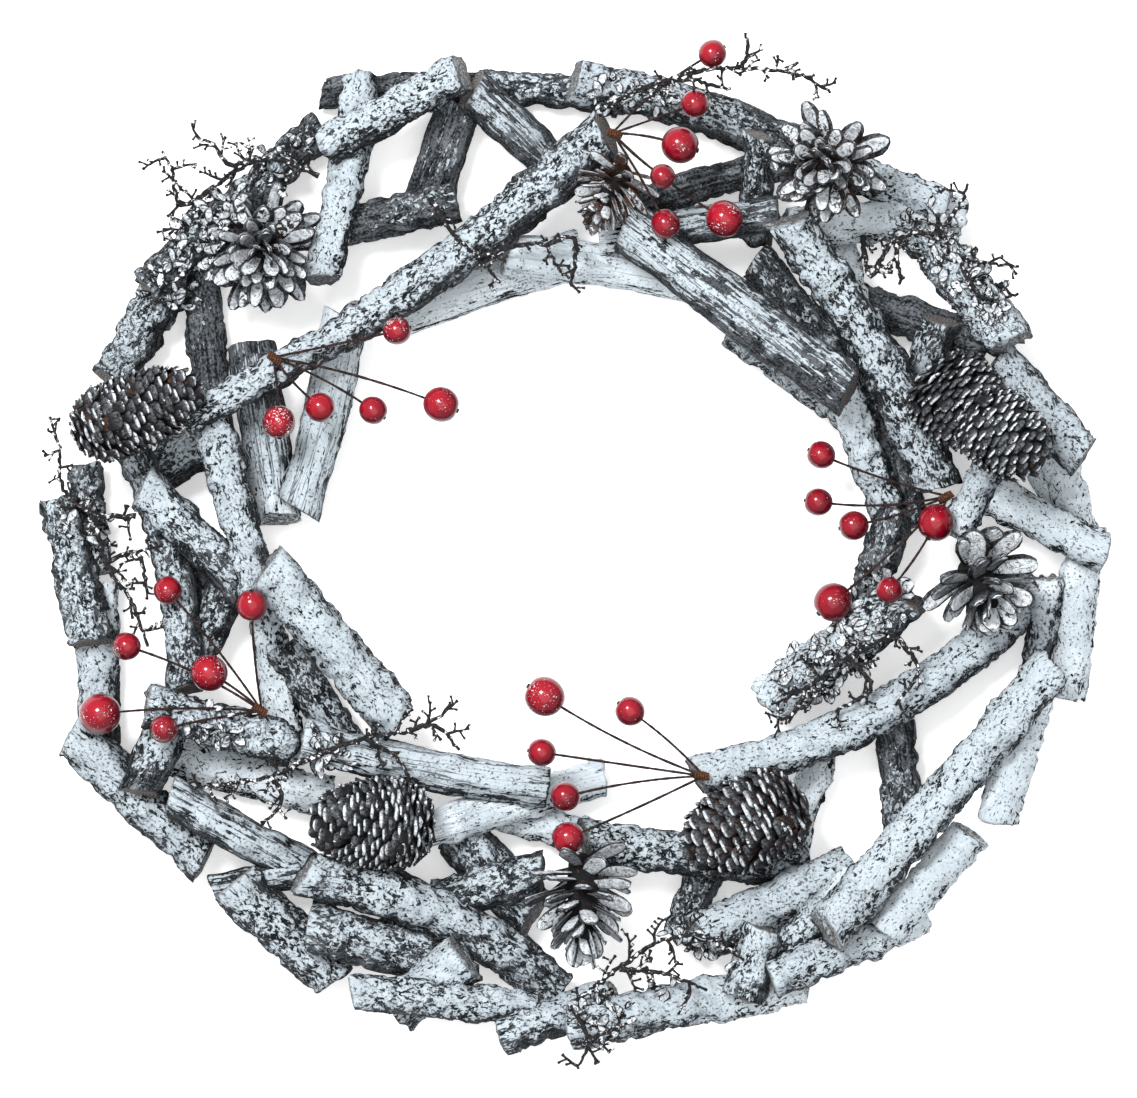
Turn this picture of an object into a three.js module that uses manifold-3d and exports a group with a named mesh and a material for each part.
// A rustic wreath of whitewashed sticks with pine cones, red berries and fine frosted twigs.
// Millimetres. The wreath lies on its back: +Z comes out of its front, +Y is the top of the wreath.
// Its plan is given by hand. Its heights are not: each piece is let down onto what already lies there.
import * as THREE from 'three';
import { mergeVertices } from 'three/addons/utils/BufferGeometryUtils.js';
import Module from 'manifold-3d';

const wasm = await Module();
wasm.setup();

// Driving dimensions
const GAP = 0.3; // left between two nodes that touch
const BED = 4; // how far a stick is let into the one it crosses, so that the ring stays shallow
const GLUED_BED = 6; // the same for two sticks of one node, which are glued there
const FLAT = 0.6; // worn off the underside of what touches the ground, so that it lies flat
const STICK_SIDES = 6;
const STICK_STEP = 38; // length of stick between two rings of corners
const STICK_WAVER = 0.07; // how much thinner than stated a stick may be at a ring
const CUT_SLANT = 0.3; // how far a sawn end leans, as a share of the radius
const LEAN = THREE.MathUtils.degToRad(14); // the most that a stick leans out of the wreath's plane
const BALL_STEP = 3; // spacing of the balls that stand for a piece while its height is found
const PASSES = 600; // rounds in which the sticks settle on each other
const SEAT_STEP = 0.2; // steps in which cones, picks and sprays are let down onto what is placed
const SEAT_MOST = 12;
const CONE_BED = 5; // how far a cone is pressed in among the sticks
const CONE_RINGS = 11; // rings of scales on a closed cone
const CONE_SIDES = 12; // corners round it, every other one raised
const SCALE_RELIEF = 0.09; // how much deeper the corners between scales lie, as a share of the width
const CORE = 0.15; // radius of an opened cone's core, as a share of the width over its scales
const SCALE_THICK = 1.9; // of an opened cone's scales
const SCALE_WIDTH = 0.24; // of a scale, as a share of the width over the scales
const GOLDEN_ANGLE = Math.PI * (3 - Math.sqrt(5)); // from one scale to the next round a cone
const WIRE = 1.2;
const WIRE_STEP = 18;
const KNOT = 6.5; // the wrapped knot of a berry pick
const TWIG = 2; // thickness of a frosted twig at its root
const TWIG_TIP = 1;
const TWIG_STEP = 15; // spacing of the sprigs along a twig
const FEEL = 1.2; // spacing at which a wire or twig feels for what is under it
const SCALE_FEEL = 2.1; // radius of the balls with which an opened cone's scales feel for it
const DRAPE_PASSES = 80;

// Finishes of the sticks, as colour and roughness
const FINISHES = {
  white: [0xeef0f2, 0.8],
  grained: [0xc9cbcc, 0.85],
  lichen: [0xcfd0c8, 0.95],
  grey: [0x8f9293, 0.9],
  dark: [0x3a3b3e, 0.95],
};
const CONE_COLOUR = [0x6d5b50, 0.9];
const BERRY_COLOUR = [0xa3122a, 0.3];
const TWIG_COLOUR = [0x5b5f60, 0.9];

// Sticks from the back of the wreath to its front. A node holds sticks that are glued into one.
// Each line: start x, y, end x, y, thickness, then what differs: end thickness and sideways bow.
const STICKS = [
  ['sticks_back_top', 'dark', [
    { line: [-87, 156, 15, 154], thick: 11.5, bow: 4 },
    { line: [-40, 152, -53, 116], thick: 17 },
    { line: [-36, 158, -8, 132], thick: 16 },
    { line: [-81, 111, -41, 119], thick: 14 },
    { line: [-1, 160, 73, 138], thick: 15.5, bow: 3 },
  ]],
  ['sticks_back_upper_right', 'dark', [
    { line: [20, 119, 72, 133], thick: 12 },
    { line: [62, 142, 60, 107], thick: 12 },
  ]],
  ['sticks_back_left_upper', 'dark', [
    { line: [-130, 104, -123, 36], thick: 14.5 },
    { line: [-147, 25, -121, 40], thick: 16.5 },
  ]],
  ['sticks_back_left', 'dark', [
    { line: [-143, 8, -122, -25], thick: 14 },
    { line: [-113, 0, -133, -39], thick: 15 },
  ]],
  ['sticks_back_lower_left', 'dark', [
    { line: [-143, -68, -84, -84], thick: 15 },
    { line: [-107, -19, -97, -73], thick: 13 },
    { line: [-100, -32, -78, -67], thick: 13.5 },
  ]],
  ['sticks_back_bottom_left', 'grey', [
    { line: [-42, -94, -15, -124], thick: 19 },
    { line: [-49, -119, -12, -109], thick: 15 },
    { line: [-32, -87, 16, -101], thick: 13 },
  ]],
  ['sticks_back_bottom', 'grey', [
    { line: [49, -97, 35, -132], thick: 13 },
    { line: [84, -66, 72, -106], thick: 12 },
    { line: [3, -99, 78, -107], thick: 16 },
  ]],
  ['stick_back_lower_right', 'dark', [
    { line: [108, -58, 112, -98], thick: 15 },
  ]],
  ['sticks_back_right', 'dark', [
    { line: [92, 87, 140, 70], thick: 15 },
    { line: [102, 51, 115, 9], thick: 12 },
    { line: [61, 99, 104, 48], thick: 14 },
    { line: [124, 79, 112, 43], thick: 13 },
    { line: [86, 121, 98, 68], thick: 12 },
  ]],
  ['sticks_outer_right', 'white', [
    { line: [145, 60, 164, 18], thick: 13 },
    { line: [163, 36, 173, 2], thick: 13.5 },
    { line: [143, 66, 172, 32], thick: 16.5 },
    { line: [174, 9, 167, -49], thick: 14 },
  ]],
  ['sticks_inner_right', 'white', [
    { line: [53, 77, 92, 48], thick: 13.5 },
    { line: [90, 58, 106, 13], thick: 13 },
  ]],
  ['sticks_outer_upper_left', 'lichen', [
    { line: [-158, 58, -139, 91], thick: 16.5 },
    { line: [-147, 90, -88, 144], thick: 13.5 },
  ]],
  ['sticks_upper_left', 'white', [
    { line: [-74, 162, -87, 93], thick: 13.5, bow: 1.5 },
    { line: [-39, 163, -85, 138], thick: 15 },
  ]],
  ['sticks_left', 'white', [
    { line: [-150, 33, -133, -47], thick: 13, bow: 4 },
    { line: [-148, 22, -114, -10], thick: 15.5 },
    { line: [-124, 45, -107, -17], thick: 13.5 },
  ]],
  ['sticks_outer_left', 'white', [
    { line: [-168, 29, -165, -8], thick: 12 },
    { line: [-164, -12, -163, -73], thick: 15 },
    { line: [-176, 17, -165, -31], thick: 16.5 },
  ]],
  ['sticks_outer_lower_left', 'white', [
    { line: [-172, -62, -127, -105], thick: 17 },
    { line: [-138, -55, -149, -82], thick: 15 },
    { line: [-146, -52, -97, -66], thick: 15 },
  ]],
  ['sticks_lower_left', 'grained', [
    { line: [-138, -83, -88, -111], thick: 15 },
    { line: [-124, -114, -93, -109], thick: 10 },
    { line: [-117, -113, -82, -145], thick: 18.5 },
  ]],
  ['stick_inner_left_long', 'white', [
    { line: [-105, -5, -61, -57], thick: 18 },
  ]],
  ['sticks_inner_left', 'grained', [
    { line: [-111, 70, -102, 11], thick: 18 },
    { line: [-79, 80, -95, 15], thick: 16.5, bow: 1.5 },
  ]],
  ['sticks_inner_bottom_left', 'grained', [
    { line: [-60, -97, 9, -77], thick: 13.5 },
    { line: [-93, -64, -10, -80], thick: 15, bow: -2 },
  ]],
  ['stick_bottom_long_left', 'white', [
    { line: [-93, -109, -7, -150], thick: 17.5, bow: 7 },
  ]],
  ['sticks_bottom_left', 'white', [
    { line: [-90, -127, -42, -141], thick: 18 },
    { line: [-61, -155, -38, -138], thick: 20 },
  ]],
  ['sticks_bottom_edge', 'white', [
    { line: [-76, -149, -12, -155], thick: 13 },
    { line: [-25, -164, 13, -152], thick: 15 },
  ]],
  ['stick_bottom_edge_right', 'white', [
    { line: [77, -146, -2, -161], thick: 16.5 },
  ]],
  ['stick_bottom_long_right', 'white', [
    { line: [94, -108, 42, -131], thick: 17.5 },
  ]],
  ['sticks_bottom_right', 'white', [
    { line: [94, -112, 62, -143], thick: 13 },
    { line: [63, -128, 56, -151], thick: 15 },
    { line: [118, -123, 66, -145], thick: 15 },
    { line: [134, -96, 105, -128], thick: 15 },
  ]],
  ['sticks_inner_lower_right', 'lichen', [
    { line: [109, 14, 94, -28], thick: 13.5 },
    { line: [66, -51, 113, -15], thick: 18 },
  ]],
  ['stick_inner_lower_right_long', 'white', [
    { line: [41, -76, 158, -12], thick: 15.5, bow: -11 },
  ]],
  ['sticks_outer_lower_right', 'white', [
    { line: [161, -9, 156, -42], thick: 10.5 },
    { line: [158, -40, 143, -91], thick: 15 },
  ]],
  ['stick_lower_right_long', 'grained', [
    { line: [161, -40, 85, -128], thick: 16.5 },
  ]],
  ['sticks_right_short', 'white', [
    { line: [136, 22, 179, 0], thick: 15.5 },
    { line: [140, 30, 129, 6], thick: 13 },
  ]],
  ['sticks_inner_top', 'grained', [
    { line: [-63, 81, 0, 102], thick: 17.5 },
    { line: [-24, 101, 51, 89], thick: 15.5, bow: 2 },
  ]],
  ['sticks_upper_right', 'white', [
    { line: [71, 110, 131, 115], thick: 15 },
    { line: [92, 131, 126, 117], thick: 13.5 },
    { line: [117, 109, 147, 71], thick: 17 },
  ]],
  ['sticks_inner_upper_right', 'grained', [
    { line: [8, 107, 68, 115], thick: 13 },
    { line: [17, 111, 92, 54], thick: 19 },
  ]],
  ['stick_upper_right_long', 'white', [
    { line: [71, 112, 123, 23], thick: 16.5, bow: 4 },
  ]],
  ['stick_top_long', 'white', [
    { line: [10, 142, -133, 45], thick: 19, end: 11, bow: 6 },
  ]],
];

// Closed cones on their sides, from the stem end to the tip
const CLOSED_CONES = [
  ['cone_left', { line: [-171, 39, -126, 57], thick: 26 }],
  ['cone_right_upper', { line: [119, 63, 142, 38], thick: 31 }],
  ['cone_right', { line: [132, 50, 158, 28], thick: 27 }],
  ['cone_lower_left', { line: [-48, -92, -92, -92], thick: 30 }],
  ['cone_bottom_right', { line: [77, -83, 36, -103], thick: 31 }],
];

// Opened cones: the middle, the width over the scales, and how far and which way the tip leans
const OPEN_CONES = [
  ['cone_upper_left', { at: [-107, 103], across: 51, height: 24, lean: 12, toward: 250, scales: 21 }],
  ['cone_upper_right', { at: [84, 131], across: 48, height: 24, lean: 14, toward: 200, scales: 20 }],
  ['cone_top', { at: [11, 121], across: 34, height: 26, lean: 62, toward: 240, scales: 16 }],
  ['cone_right_open', { at: [138, -12], across: 47, height: 30, lean: 38, toward: 300, scales: 17 }],
  ['cone_bottom', { at: [2, -121], across: 46, height: 42, lean: 58, toward: 270, scales: 20 }],
];

// Berry picks: where the wires are tied, and the middle and diameter of each berry
const BERRY_PICKS = [
  ['berries_top', [12, 142], [
    [46, 169, 9.5], [40, 152, 9.5], [35, 138, 12.5], [29, 127, 8.5], [30, 111, 10], [50, 113, 12.5],
  ]],
  ['berries_left', [-103, 66], [
    [-61, 75, 9.5], [-46, 50, 12], [-69, 48, 9.5], [-87, 49, 10], [-101, 44, 11],
  ]],
  ['berries_right', [126, 19], [
    [83, 33, 9.5], [82, 17, 9.5], [94, 9, 10], [122, 10, 12.5], [106, -13, 9], [87, -17, 13],
  ]],
  ['berries_bottom', [43, -76], [
    [-11, -49, 13.5], [18, -54, 10], [-12, -68, 9.5], [-4, -83, 10], [-3, -97, 11],
  ]],
  ['berries_lower_left', [-107, -54], [
    [-139, -13, 9.5], [-110, -18, 10.5], [-153, -32, 9.5], [-125, -41, 12.5], [-162, -55, 14],
    [-140, -60, 9.5],
  ]],
];

// Sprays of fine twigs: the corners of each twig in plan, the first twig from the root of the spray.
// Sprigs say how long the side sprigs are, and a denser spray has them closer.
const TWIG_SPRAYS = [
  ['twigs_upper_left', { sprigs: 9 }, [
    [[-88, 128], [-106, 134], [-124, 124], [-139, 108]],
    [[-124, 124], [-135, 118], [-138, 130], [-141, 136]],
    [[-106, 134], [-118, 132], [-124, 139], [-129, 141]],
    [[-112, 132], [-112, 138], [-115, 139]],
  ]],
  ['twigs_top', { sprigs: 6 }, [
    [[8, 150], [22, 157], [42, 163], [58, 164], [75, 162], [86, 156]],
    [[55, 164], [58, 169], [57, 176]],
    [[22, 157], [35, 160], [52, 157]],
    [[70, 163], [75, 166]],
  ]],
  ['twigs_middle_top', { sprigs: 7 }, [
    [[-50, 120], [-42, 108], [-34, 100], [-26, 91]],
    [[-34, 100], [-20, 104], [-11, 104], [-6, 95]],
    [[-11, 104], [-1, 106], [-2, 90]],
  ]],
  ['twigs_upper_right', { sprigs: 8 }, [
    [[97, 108], [100, 94], [108, 106], [123, 108], [129, 100], [150, 97]],
    [[123, 108], [130, 118], [133, 125]],
    [[129, 100], [138, 86], [150, 88]],
    [[108, 106], [110, 91]],
  ]],
  ['twigs_left', { sprigs: 9 }, [
    [[-150, 12], [-164, 13], [-175, 22], [-176, 36], [-180, 42]],
    [[-164, 13], [-160, -4], [-152, -16], [-146, -32]],
    [[-160, -4], [-150, 0], [-146, -14]],
  ]],
  ['twigs_lower_left', { sprigs: 8 }, [
    [[-91, -70], [-72, -63], [-58, -61], [-47, -56], [-43, -51]],
    [[-72, -63], [-60, -71], [-58, -76]],
    [[-58, -61], [-48, -59], [-40, -67]],
    [[-91, -70], [-104, -76], [-120, -79], [-130, -80]],
    [[-104, -76], [-100, -84], [-107, -93]],
  ]],
  ['twigs_bottom', { sprigs: 11 }, [
    [[-2, -154], [14, -141], [28, -132], [44, -130], [56, -138]],
    [[14, -141], [30, -143], [44, -148]],
    [[-2, -154], [4, -165], [0, -175]],
    [[4, -165], [16, -160]],
  ]],
  ['twigs_lower_right', { sprigs: 10 }, [
    [[108, -28], [92, -36], [78, -46], [66, -52]],
    [[92, -36], [100, -46], [88, -54]],
    [[78, -46], [72, -58]],
    [[108, -28], [116, -40], [108, -52]],
  ]],
];

// Seeded draws, so that the wreath is the same each time
function makeRandom(seed) {
  let state = seed;
  return () => {
    state = (state * 1664525 + 1013904223) >>> 0;
    return state / 4294967296;
  };
}

// Closed solids and their joins
function toSolid(geometry) {
  const bare = geometry.clone();
  bare.deleteAttribute('normal');
  bare.deleteAttribute('uv');
  const merged = mergeVertices(bare, 1e-4);
  return new wasm.Manifold(new wasm.Mesh({
    numProp: 3,
    vertProperties: new Float32Array(merged.attributes.position.array),
    triVerts: new Uint32Array(merged.index.array),
  }));
}

function toGeometry(solid) {
  const mesh = solid.getMesh();
  const geometry = new THREE.BufferGeometry();
  geometry.setAttribute('position', new THREE.BufferAttribute(mesh.vertProperties, 3));
  geometry.setIndex(new THREE.BufferAttribute(mesh.triVerts, 1));
  return geometry;
}

function joinAll(geometries) {
  return geometries.map(toSolid).reduce((whole, next) => whole.add(next));
}

// A closed skin over rings of corners, with a flat or pointed cap at each end
function skinOverRings(rings, firstTip, lastTip) {
  const sides = rings[0].length;
  const corners = rings.flat();
  const faces = [];
  for (let ring = 0; ring < rings.length - 1; ring += 1) {
    for (let side = 0; side < sides; side += 1) {
      const here = ring * sides + side;
      const beside = ring * sides + ((side + 1) % sides);
      faces.push(here, beside, here + sides);
      faces.push(beside, beside + sides, here + sides);
    }
  }
  const last = (rings.length - 1) * sides;
  corners.push(firstTip, lastTip);
  for (let side = 0; side < sides; side += 1) {
    const next = (side + 1) % sides;
    faces.push(corners.length - 2, next, side);
    faces.push(corners.length - 1, last + side, last + next);
  }
  const geometry = new THREE.BufferGeometry().setFromPoints(corners);
  geometry.setIndex(faces);
  return geometry;
}

function centreOf(ring) {
  const sum = ring.reduce((total, corner) => total.add(corner), new THREE.Vector3());
  return sum.divideScalar(ring.length);
}

// A tapered tube through points, each with its own radius, with sides all round
function tube(points, radii, sides, turn = 0) {
  const rings = points.map((point, index) => {
    const before = points[Math.max(index - 1, 0)];
    const after = points[Math.min(index + 1, points.length - 1)];
    const along = after.clone().sub(before).normalize();
    const aside = new THREE.Vector3(-along.y, along.x, 0);
    if (aside.lengthSq() < 1e-6) {
      aside.set(1, 0, 0);
    }
    aside.normalize();
    const up = along.clone().cross(aside);
    return Array.from({ length: sides }, (_, side) => {
      const angle = turn + (2 * Math.PI * side) / sides;
      return point.clone()
        .addScaledVector(aside, radii[index] * Math.cos(angle))
        .addScaledVector(up, radii[index] * Math.sin(angle));
    });
  });
  return skinOverRings(rings, centreOf(rings[0]), centreOf(rings.at(-1)));
}

// The plan line of a stick or a lying cone, s from -1 to 1
function planLine([x0, y0, x1, y1], bow) {
  const length = Math.hypot(x1 - x0, y1 - y0);
  return (s) => {
    const t = (s + 1) / 2;
    const off = bow * (1 - s * s);
    return {
      x: x0 + (x1 - x0) * t - ((y1 - y0) / length) * off,
      y: y0 + (y1 - y0) * t + ((x1 - x0) / length) * off,
    };
  };
}

// A stick before its height is known: its plan, and balls along it
function plannedStick(node, { line, thick, end = thick, bow = 0 }) {
  const plan = planLine(line, bow);
  const length = Math.hypot(line[2] - line[0], line[3] - line[1]);
  const radiusAt = (s) => (thick + ((end - thick) * (s + 1)) / 2) / 2;
  const count = Math.ceil(length / BALL_STEP);
  const balls = Array.from({ length: count + 1 }, (_, index) => {
    const s = (2 * index) / count - 1;
    return { s, ...plan(s), radius: radiusAt(s) };
  });
  return { node, plan, length, radiusAt, balls, middle: thick / 2, rise: 0 };
}

// Where a stick crosses one further back, and how much higher its middle line has to be there.
// Two sticks of one node are glued where they cross most squarely, and stay on each other there.
function crossings(over, under) {
  const found = over.balls.flatMap((ball) => {
    const apart = (other) => Math.hypot(ball.x - other.x, ball.y - other.y);
    const nearest = under.balls.reduce((best, other) => (apart(other) < apart(best) ? other : best));
    const reach = ball.radius + nearest.radius - (over.node === under.node ? GLUED_BED : BED);
    const need = Math.sqrt(Math.max(0, reach * reach - apart(nearest) ** 2));
    return need > 0 ? [{ over, under, s: ball.s, t: nearest.s, need, glued: false }] : [];
  });
  if (over.node === under.node && found.length > 0) {
    found.reduce((best, next) => (next.need > best.need ? next : best)).glued = true;
  }
  return found;
}

// Lift one stick and press the other down at a crossing. A rod turns three times as easily as it shifts.
function pushApart({ over, under, s, t, need, glued }) {
  const lack = need - (over.middle + over.rise * s - under.middle - under.rise * t);
  if (lack > 0 || glued) {
    const share = lack / (2 + 3 * s * s + 3 * t * t);
    over.middle += share;
    over.rise += 3 * s * share;
    under.middle -= share;
    under.rise -= 3 * t * share;
  }
}

function keepOffGround(stick) {
  const most = (Math.tan(LEAN) * stick.length) / 2;
  stick.rise = Math.min(Math.max(stick.rise, -most), most);
  for (const s of [-1, 1]) {
    const lack = stick.radiusAt(s) - FLAT - (stick.middle + stick.rise * s);
    if (lack > 0) {
      stick.middle += lack / 4;
      stick.rise += (3 * s * lack) / 4;
    }
  }
}

// The sticks sink under their own weight, which fades out while they push each other apart
function settle(sticks) {
  const contacts = sticks.flatMap((over, index) => (
    sticks.slice(0, index).flatMap((under) => crossings(over, under))
  ));
  for (let pass = 0; pass < PASSES; pass += 1) {
    const sink = 1 - pass / PASSES;
    for (const stick of sticks) {
      stick.middle -= sink;
    }
    contacts.forEach(pushApart);
    sticks.forEach(keepOffGround);
  }
}

// The solid of a stick, or with some clearance the room that it takes up
function stickShape(stick, seed, clearance = 0) {
  const random = makeRandom(seed);
  const steps = Math.max(2, Math.round(stick.length / STICK_STEP));
  const places = Array.from({ length: steps + 1 }, (_, index) => (2 * index) / steps - 1);
  const points = places.map((s) => {
    const { x, y } = stick.plan(s);
    return new THREE.Vector3(x, y, stick.middle + stick.rise * s);
  });
  const wavered = places.map((s) => stick.radiusAt(s) * (1 - STICK_WAVER * random()));
  const radii = wavered.map((radius) => radius + clearance);
  const low = points.every((point, index) => point.z < wavered[index] + FLAT);
  const flatDown = -Math.PI / 2 - Math.PI / STICK_SIDES;
  const geometry = tube(points, radii, STICK_SIDES, low ? flatDown : 2 * Math.PI * random());
  const along = points.at(-1).clone().sub(points[0]).normalize();
  const lastRing = steps * STICK_SIDES;
  moveEnd(geometry, 0, along, radii[0], -clearance, random);
  moveEnd(geometry, lastRing, along, radii.at(-1), clearance, random);
  return geometry;
}

// Sawn a little slantwise
function moveEnd(geometry, first, along, radius, push, random) {
  const corners = geometry.attributes.position;
  const lean = random() * 2 * Math.PI;
  for (let side = 0; side < STICK_SIDES; side += 1) {
    const slant = CUT_SLANT * radius * Math.cos((2 * Math.PI * side) / STICK_SIDES + lean);
    const corner = new THREE.Vector3().fromBufferAttribute(corners, first + side);
    corner.addScaledVector(along, push + slant);
    corners.setXYZ(first + side, ...corner);
  }
}

const wreath = new THREE.Group();
const placed = [];

// Wear a piece flat where it lies on the ground, and hang it in the wreath
function addNode(name, solid, [colour, roughness], isStick) {
  const worn = solid.trimByPlane([0, 0, 1], 0);
  const material = new THREE.MeshStandardMaterial({ color: colour, roughness, metalness: 0 });
  const mesh = new THREE.Mesh(toGeometry(worn), material);
  mesh.name = name;
  wreath.add(mesh);
  placed.push({ solid: worn, box: worn.boundingBox(), isStick });
}

// How far a piece can be let down before it would touch what is placed, and then pressed in among the sticks
function roomBelow(solid, bed) {
  const { min, max } = solid.boundingBox();
  const near = placed.filter(({ box }) => (
    [0, 1].every((axis) => box.min[axis] < max[axis] && box.max[axis] > min[axis])
  ));
  const clearAt = (drop, others) => {
    const lowered = solid.translate(0, 0, -drop);
    return min[2] > drop && others.every((other) => lowered.intersect(other.solid).isEmpty());
  };
  let drop = 0;
  while (drop < SEAT_MOST && clearAt(drop + SEAT_STEP, near)) {
    drop += SEAT_STEP;
  }
  const touched = drop;
  const notSticks = near.filter((other) => !other.isStick);
  while (drop < touched + bed && clearAt(drop + SEAT_STEP + GAP, notSticks)) {
    drop += SEAT_STEP;
  }
  return drop > touched ? drop : drop - GAP;
}

// Seat a cone, pick or spray on what is placed, and let the balls that stand for it follow
function place(name, { solid, balls }, bed, finish) {
  const drop = roomBelow(solid, bed);
  const seated = solid.translate(0, 0, -drop);
  lay(name, balls.map((ball) => ({ ...ball, z: ball.z - drop })));
  const fitted = bed > 0 ? room.reduce((rest, over) => rest.subtract(over), seated) : seated;
  addNode(name, fitted, finish, false);
}

// The ring of sticks: each node is let into by the nodes that lie over it
const sticks = STICKS.flatMap(([node, , members]) => members.map((member) => plannedStick(node, member)));
settle(sticks);
const room = STICKS.map(([node]) => joinAll(
  sticks.filter((stick) => stick.node === node).map((stick) => stickShape(stick, sticks.indexOf(stick), GAP)),
));
STICKS.forEach(([node, finish], order) => {
  const members = sticks.filter((stick) => stick.node === node);
  const whole = joinAll(members.map((stick) => stickShape(stick, sticks.indexOf(stick))));
  const fitted = room.slice(order + 1).reduce((solid, over) => solid.subtract(over), whole);
  addNode(node, fitted, FINISHES[finish], true);
});

// What already lies there, as balls
const laid = [];

function lay(node, balls) {
  for (const { x, y, z, radius } of balls) {
    laid.push({ node, x, y, z, radius });
  }
}

for (const stick of sticks) {
  lay(stick.node, stick.balls.map((ball) => ({ ...ball, z: stick.middle + stick.rise * ball.s })));
}

// The lowest height at which a ball's middle may lie at a place of the plan, clear of all but its own node
function restingHeight(x, y, radius, node) {
  let height = radius;
  for (const ball of laid) {
    const reach = radius + ball.radius + GAP;
    const apart = Math.hypot(x - ball.x, y - ball.y);
    if (ball.node !== node && apart < reach) {
      height = Math.max(height, ball.z + Math.sqrt(reach * reach - apart * apart));
    }
  }
  return height;
}

// How far a shape of balls has to be lifted from its own frame to be clear of everything
function clearLift(balls, node) {
  return Math.max(...balls.map((ball) => restingHeight(ball.x, ball.y, ball.radius, node) - ball.z));
}

// A closed cone: raised scales in a diamond lattice, each with its lip drawn toward the tip
function closedCone(node, { line, thick }) {
  const plan = planLine(line, 0);
  const length = Math.hypot(line[2] - line[0], line[3] - line[1]);
  const outline = (s) => (thick / 2) * Math.sqrt(1 - Math.abs(s) ** 2.6) * (1 - 0.16 * s);
  const balls = Array.from({ length: 13 }, (_, index) => {
    const s = (index - 6) / 7.5;
    return { ...plan(s), z: 0, radius: outline(s) };
  });
  const lift = clearLift(balls, node);
  const start = new THREE.Vector3(plan(-1).x, plan(-1).y, lift);
  const along = new THREE.Vector3(plan(1).x, plan(1).y, lift).sub(start).normalize();
  const aside = new THREE.Vector3(-along.y, along.x, 0);
  const up = along.clone().cross(aside);
  const ringStep = length / (CONE_RINGS + 1);
  const rings = Array.from({ length: CONE_RINGS }, (_, ring) => (
    Array.from({ length: CONE_SIDES }, (__, side) => {
      const raised = (ring + side) % 2 === 0;
      const s = (2 * (ring + 1)) / (CONE_RINGS + 1) - 1;
      const radius = outline(s) * (raised ? 1 : 1 - 2 * SCALE_RELIEF);
      const angle = (2 * Math.PI * side) / CONE_SIDES;
      return start.clone()
        .addScaledVector(along, ringStep * (ring + 1 + (raised ? 0.45 : 0)))
        .addScaledVector(aside, radius * Math.cos(angle))
        .addScaledVector(up, radius * Math.sin(angle));
    })
  ));
  const tip = start.clone().addScaledVector(along, length);
  return {
    solid: toSolid(skinOverRings(rings, start, tip)),
    balls: balls.map((ball) => ({ ...ball, z: lift })),
  };
}

// An opened cone: a core with scales in a golden-angle spiral, flat at the base and steep at the tip.
// A scale's outline and its feelers are shares of its length and width, from its root just inside the core.
const SCALE_OUTLINE = [[0.24, 0.16], [0.8, 0.52]];
const SCALE_FEELERS = [[0.4, 0], [0.62, 0.3], [0.62, -0.3], [0.8, 0.44], [0.8, -0.44], [0.8, 0], [0.97, 0]];

function scaleFeelers(length, width, angle, tilt, height) {
  const turn = new THREE.Matrix4().makeRotationZ(angle);
  turn.multiply(new THREE.Matrix4().makeTranslation(0, 0, height));
  turn.multiply(new THREE.Matrix4().makeRotationY(-tilt));
  return SCALE_FEELERS.map(([u, v]) => new THREE.Vector3(u * length, v * width, 0).applyMatrix4(turn));
}

function coneScale(length, width, angle, tilt, height) {
  const shape = new THREE.Shape([
    ...SCALE_OUTLINE.map(([u, v]) => new THREE.Vector2(u * length, -v * width)),
    new THREE.Vector2(length, 0),
    ...SCALE_OUTLINE.toReversed().map(([u, v]) => new THREE.Vector2(u * length, v * width)),
  ]);
  const blade = new THREE.ExtrudeGeometry(shape, { depth: SCALE_THICK, bevelEnabled: false });
  blade.translate(0, 0, -SCALE_THICK / 2);
  blade.rotateY(-tilt);
  blade.translate(0, 0, height);
  blade.rotateZ(angle);
  return blade;
}

function openCone(node, { at, across, height, lean, toward, scales }) {
  const core = new THREE.LatheGeometry([
    new THREE.Vector2(0, 0),
    new THREE.Vector2(across * CORE, height * 0.1),
    new THREE.Vector2(across * CORE, height * 0.5),
    new THREE.Vector2(0, height * 0.9),
  ], 7).rotateX(Math.PI / 2);
  const feelers = [];
  const blades = Array.from({ length: scales }, (_, index) => {
    const share = index / (scales - 1);
    const tilt = THREE.MathUtils.degToRad(4 + 66 * share);
    const reach = Math.min(across / 2, (across / 2) * (1.08 - 0.45 * share) / Math.cos(tilt));
    const length = Math.min(reach, across * (0.5 - 0.16 * share));
    const rise = height * (0.08 + 0.6 * share);
    const angle = index * GOLDEN_ANGLE;
    feelers.push(...scaleFeelers(length, across * SCALE_WIDTH, angle, tilt, rise));
    return coneScale(length, across * SCALE_WIDTH, angle, tilt, rise);
  });
  const turn = new THREE.Matrix4().makeRotationZ(THREE.MathUtils.degToRad(toward));
  turn.multiply(new THREE.Matrix4().makeRotationY(THREE.MathUtils.degToRad(lean)));
  const middle = new THREE.Vector3(0, 0, height / 2).applyMatrix4(turn);
  const offset = new THREE.Vector3(at[0] - middle.x, at[1] - middle.y, 0);
  const balls = feelers.map((point) => {
    const { x, y, z } = point.applyMatrix4(turn).add(offset);
    return { x, y, z, radius: SCALE_FEEL };
  });
  const lift = clearLift(balls, node);
  turn.setPosition(offset.x, offset.y, lift);
  return {
    solid: joinAll([core, ...blades].map((part) => part.applyMatrix4(turn))),
    balls: balls.map((ball) => ({ ...ball, z: ball.z + lift })),
  };
}

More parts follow.
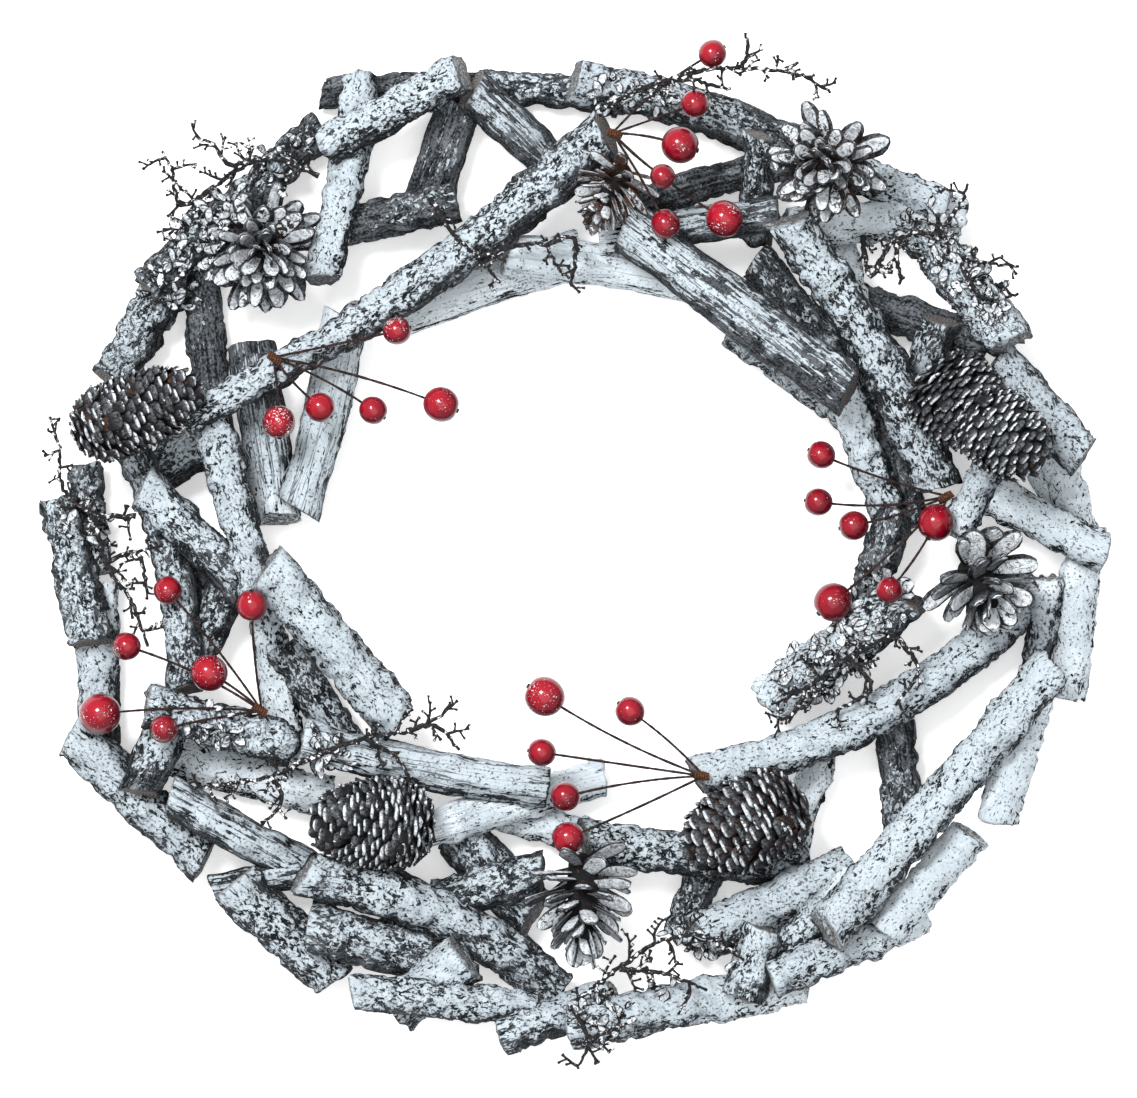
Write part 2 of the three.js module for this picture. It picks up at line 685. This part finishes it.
for (const [name, cone] of CLOSED_CONES) {
  place(name, closedCone(name, cone), CONE_BED, CONE_COLOUR);
}
for (const [name, cone] of OPEN_CONES) {
  place(name, openCone(name, cone), CONE_BED, CONE_COLOUR);
}

// A thin stem laid over what is there. It has a few straight stretches, held up wherever one would touch.
// A height that is given, at its start or end, stays as it is.
function drape(corners, step, radius, node, startHeight = null, endHeight = null) {
  const path = new THREE.CatmullRomCurve3(corners.map(([x, y]) => new THREE.Vector3(x, y, 0)));
  const points = path.getSpacedPoints(Math.max(1, Math.round(path.getLength() / step)));
  const last = points.length - 1;
  const props = points.slice(1).flatMap((point, index) => {
    const count = Math.ceil(point.distanceTo(points[index]) / FEEL);
    return Array.from({ length: count + 1 }, (_, part) => {
      const share = part / count;
      const { x, y } = points[index].clone().lerp(point, share);
      return { index, share, floor: restingHeight(x, y, radius + 0.1, node) };
    });
  });
  const firstStretch = props.filter(({ index }) => index === 0);
  const start = startHeight ?? Math.max(...firstStretch.map(({ floor }) => floor));
  const end = endHeight ?? start;
  const heights = points.map((_, index) => THREE.MathUtils.lerp(start, end, index / last));
  const loose = points.map((_, index) => (
    (index === 0 && startHeight !== null) || (index === last && endHeight !== null) ? 0 : 1
  ));
  for (let pass = 0; pass < 2 * DRAPE_PASSES; pass += 1) {
    for (let index = 1; index < last && pass < DRAPE_PASSES; index += 1) {
      heights[index] = (heights[index - 1] + 2 * heights[index] + heights[index + 1]) / 4;
    }
    for (const { index, share, floor } of props) {
      const near = loose[index] * (1 - share);
      const far = loose[index + 1] * share;
      const lack = floor - (1 - share) * heights[index] - share * heights[index + 1];
      const hold = near * near + far * far;
      if (lack > 0 && hold > 0.01) {
        heights[index] += (near * lack) / hold;
        heights[index + 1] += (far * lack) / hold;
      }
    }
  }
  points.forEach((point, index) => {
    point.z = heights[index];
  });
  return points;
}

function ballsAlong(points, radius) {
  return points.slice(1).flatMap((point, index) => {
    const count = Math.ceil(point.distanceTo(points[index]) / FEEL);
    return Array.from({ length: count + 1 }, (_, part) => {
      const { x, y, z } = points[index].clone().lerp(point, part / count);
      return { x, y, z, radius };
    });
  });
}

// A berry pick: wires from a wrapped knot to the berries, over the sticks
function berryPick(node, [x, y], berries) {
  const knotHeight = restingHeight(x, y, KNOT / 2, node);
  const knot = new THREE.IcosahedronGeometry(KNOT / 2, 0).translate(x, y, knotHeight);
  const parts = [knot];
  const balls = [{ x, y, z: knotHeight, radius: KNOT / 2 }];
  for (const [bx, by, across] of berries) {
    const height = Math.max(restingHeight(bx, by, across / 2, node), knotHeight);
    const bend = 0.08 * Math.hypot(bx - x, by - y);
    const half = [(x + bx) / 2 + (by > y ? bend : -bend) / 2, (y + by) / 2 + bend / 2];
    const wire = drape([[x, y], half, [bx, by]], WIRE_STEP, WIRE / 2, node, knotHeight, height);
    parts.push(tube(wire, wire.map(() => WIRE / 2), 3));
    parts.push(new THREE.IcosahedronGeometry(across / 2, 1).translate(bx, by, height));
    balls.push({ x: bx, y: by, z: height, radius: across / 2 }, ...ballsAlong(wire, WIRE / 2));
  }
  return { solid: joinAll(parts), balls };
}

for (const [name, knot, berries] of BERRY_PICKS) {
  place(name, berryPick(name, knot, berries), 0, BERRY_COLOUR);
}

// A spray of twigs: each twig starts on one before it, and carries sprigs to both sides
function twigSpray(node, { sprigs }, twigs, seed) {
  const random = makeRandom(seed);
  const parts = [];
  const done = [];
  const balls = [];
  const nearest = ([x, y]) => done.reduce((best, point) => (
    Math.hypot(point.x - x, point.y - y) < Math.hypot(best.x - x, best.y - y) ? point : best
  ));
  const grow = (corners, thick, step) => {
    const root = done.length > 0 ? nearest(corners[0]) : null;
    const route = root ? [[root.x, root.y], ...corners.slice(1)] : corners;
    const points = drape(route, step, thick / 2, node, root ? root.z : null);
    const last = points.length - 1;
    const radii = points.map((_, index) => THREE.MathUtils.lerp(thick, TWIG_TIP, index / last) / 2);
    parts.push(tube(points, radii, 3));
    balls.push(...ballsAlong(points, thick / 2));
    done.push(...points);
    return points;
  };
  for (const corners of twigs) {
    const points = grow(corners, TWIG, TWIG_STEP);
    for (let index = 1; index < points.length - 1; index += 1) {
      const { x, y } = points[index];
      const heading = Math.atan2(points[index + 1].y - y, points[index + 1].x - x);
      const side = index % 2 === 0 ? 1 : -1;
      const angle = heading + side * (0.6 + 0.4 * random());
      const long = sprigs * (0.7 + 0.5 * random());
      const tip = [x + long * Math.cos(angle), y + long * Math.sin(angle)];
      const mid = [x + 0.5 * long * Math.cos(angle - 0.3), y + 0.5 * long * Math.sin(angle - 0.3)];
      grow([[x, y], mid, tip], TWIG * 0.75, TWIG_STEP / 2);
    }
  }
  return { solid: joinAll(parts), balls };
}

TWIG_SPRAYS.forEach(([name, kind, twigs], index) => {
  place(name, twigSpray(name, kind, twigs, 500 + index), 0, TWIG_COLOUR);
});

// The origin goes to the middle of the underside
const extent = new THREE.Box3().setFromObject(wreath);
const middle = extent.getCenter(new THREE.Vector3());
for (const mesh of wreath.children) {
  mesh.geometry.translate(-middle.x, -middle.y, 0);
}

export default wreath;
